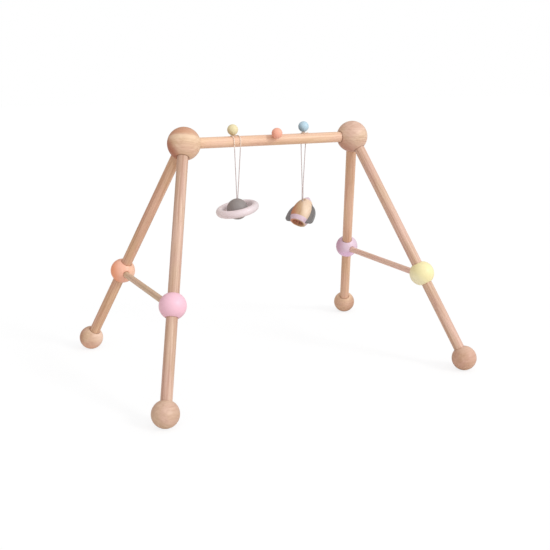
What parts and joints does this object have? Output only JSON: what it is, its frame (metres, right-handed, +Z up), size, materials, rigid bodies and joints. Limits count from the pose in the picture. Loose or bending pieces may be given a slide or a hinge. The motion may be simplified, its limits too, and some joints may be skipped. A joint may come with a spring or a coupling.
{
  "type": "activity play gym",
  "caption": "Wooden play gym: A-frame dowel legs with ball hubs and feet, a top bar with bead knobs, and a ringed planet and a rocket hanging on cords.",
  "frame": {"origin": "on the floor, under the middle of the top bar", "axes": "+X along the top bar, towards the rocket; +Y to the back; +Z up"},
  "size_m": [0.65, 0.487, 0.4624],
  "materials": {
    "bare_wood": "sanded light hardwood with a clear satin coat",
    "rocket_wood": "sanded light hardwood, satin, with a lilac band and nose",
    "paint_orange": "satin orange paint on wood",
    "paint_pink": "satin pink paint on wood",
    "paint_lilac": "satin lilac paint on wood",
    "paint_yellow": "satin yellow paint on wood",
    "paint_pale_yellow": "satin pale yellow paint on wood",
    "paint_coral": "satin coral paint on wood",
    "paint_blue": "satin sky blue paint on wood",
    "paint_grey": "matt warm grey paint on wood",
    "paint_blush": "satin very pale pink paint on wood",
    "cord": "twisted cotton cord",
    "bolt_steel": "zinc-plated steel",
    "insert_brass": "plain brass"
  },
  "bodies": {
    "frame": {"hub_left": "bare_wood", "hub_right": "bare_wood", "hub_threaded_inserts": "insert_brass", "leg_hanger_bolts": "bolt_steel", "bar_hanger_bolts": "bolt_steel", "leg_front_left": "bare_wood", "leg_back_left": "bare_wood", "leg_back_right": "bare_wood", "leg_front_right": "bare_wood", "foot_front_left": "bare_wood", "foot_back_left": "bare_wood", "foot_back_right": "bare_wood", "foot_front_right": "bare_wood", "brace_ball_orange": "paint_orange", "brace_ball_pink": "paint_pink", "brace_ball_lilac": "paint_lilac", "brace_ball_yellow": "paint_yellow", "crossbar_left": "bare_wood", "crossbar_right": "bare_wood", "top_bar": "bare_wood", "knob_ball_yellow": "paint_pale_yellow", "knob_ball_coral": "paint_coral", "knob_ball_blue": "paint_blue", "knob_pin_yellow": "bare_wood", "knob_pin_coral": "bare_wood", "knob_pin_blue": "bare_wood", "saturn_cord_loop": "cord", "saturn_cord_on_bar": "cord", "rocket_cord_loop": "cord", "rocket_cord_on_bar": "cord"},
    "saturn_cord": {"saturn_cord_strands": "cord"},
    "saturn_planet": {"saturn_planet": "paint_grey", "saturn_ring_pins": "bolt_steel", "saturn_cord_knot": "cord"},
    "saturn_ring": {"saturn_ring": "paint_blush"},
    "rocket_cord": {"rocket_cord_strands": "cord"},
    "rocket_line": {"rocket_cord_line": "cord"},
    "rocket": {"rocket_body": "rocket_wood", "rocket_fin_near": "paint_grey", "rocket_fin_far": "paint_grey", "rocket_cord_knot": "cord"}
  },
  "joints": [
    {"name": "saturn_swing", "type": "hinge", "parent": "frame", "child": "saturn_cord", "pos_m": [-0.0755, 0, 0.43], "axis": [1, 0, 0], "range_deg": [-50, 50], "deforming": ["saturn_cord_on_bar"]},
    {"name": "saturn_spin", "type": "hinge", "parent": "saturn_cord", "child": "saturn_planet", "pos_m": [-0.0768, -0.011, 0.3271], "axis": [0, 0, 1], "range_deg": [-180, 180]},
    {"name": "saturn_ring_rock", "type": "hinge", "parent": "saturn_planet", "child": "saturn_ring", "pos_m": [-0.0768, -0.011, 0.3072], "axis": [-0.1115, 0.9938, 0], "range_deg": [-57, 81]},
    {"name": "rocket_swing", "type": "hinge", "parent": "frame", "child": "rocket_cord", "pos_m": [0.0723, 0, 0.43], "axis": [1, 0, 0], "range_deg": [-50, 50], "deforming": ["rocket_cord_on_bar"]},
    {"name": "rocket_sway", "type": "hinge", "parent": "rocket_cord", "child": "rocket_line", "pos_m": [0.0723, 0.011, 0.3373], "axis": [0, 1, 0], "range_deg": [-30, 30]},
    {"name": "rocket_spin", "type": "hinge", "parent": "rocket_line", "child": "rocket", "pos_m": [0.0723, 0.011, 0.3096], "axis": [0, 0, 1], "range_deg": [-180, 180]}
  ]
}
